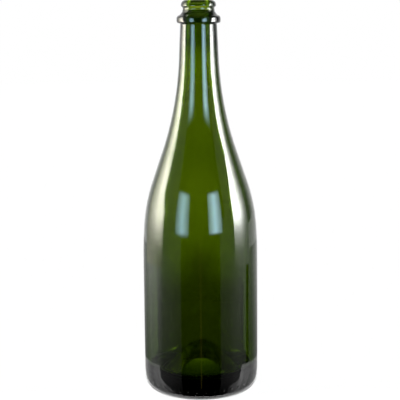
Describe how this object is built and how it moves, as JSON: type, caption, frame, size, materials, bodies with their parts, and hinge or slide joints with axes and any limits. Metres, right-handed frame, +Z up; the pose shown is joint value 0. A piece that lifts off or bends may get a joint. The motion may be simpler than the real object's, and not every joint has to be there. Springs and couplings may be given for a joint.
{
  "type": "champagne bottle",
  "caption": "Empty champagne bottle in green glass: round body, long sloping shoulder, tapered neck with a collar ring, open mouth with a crown bead, and a hollow punt in the base.",
  "frame": {"origin": "centre of the base, on the surface that the bottle stands on", "axes": "+Z up along the bottle's axis, +X to the right and +Y away from the camera in the picture"},
  "size_m": [0.0886, 0.0886, 0.3],
  "materials": {
    "green_glass": "fire-polished clear green glass"
  },
  "bodies": {
    "root": {"bottle": "green_glass"}
  },
  "joints": []
}
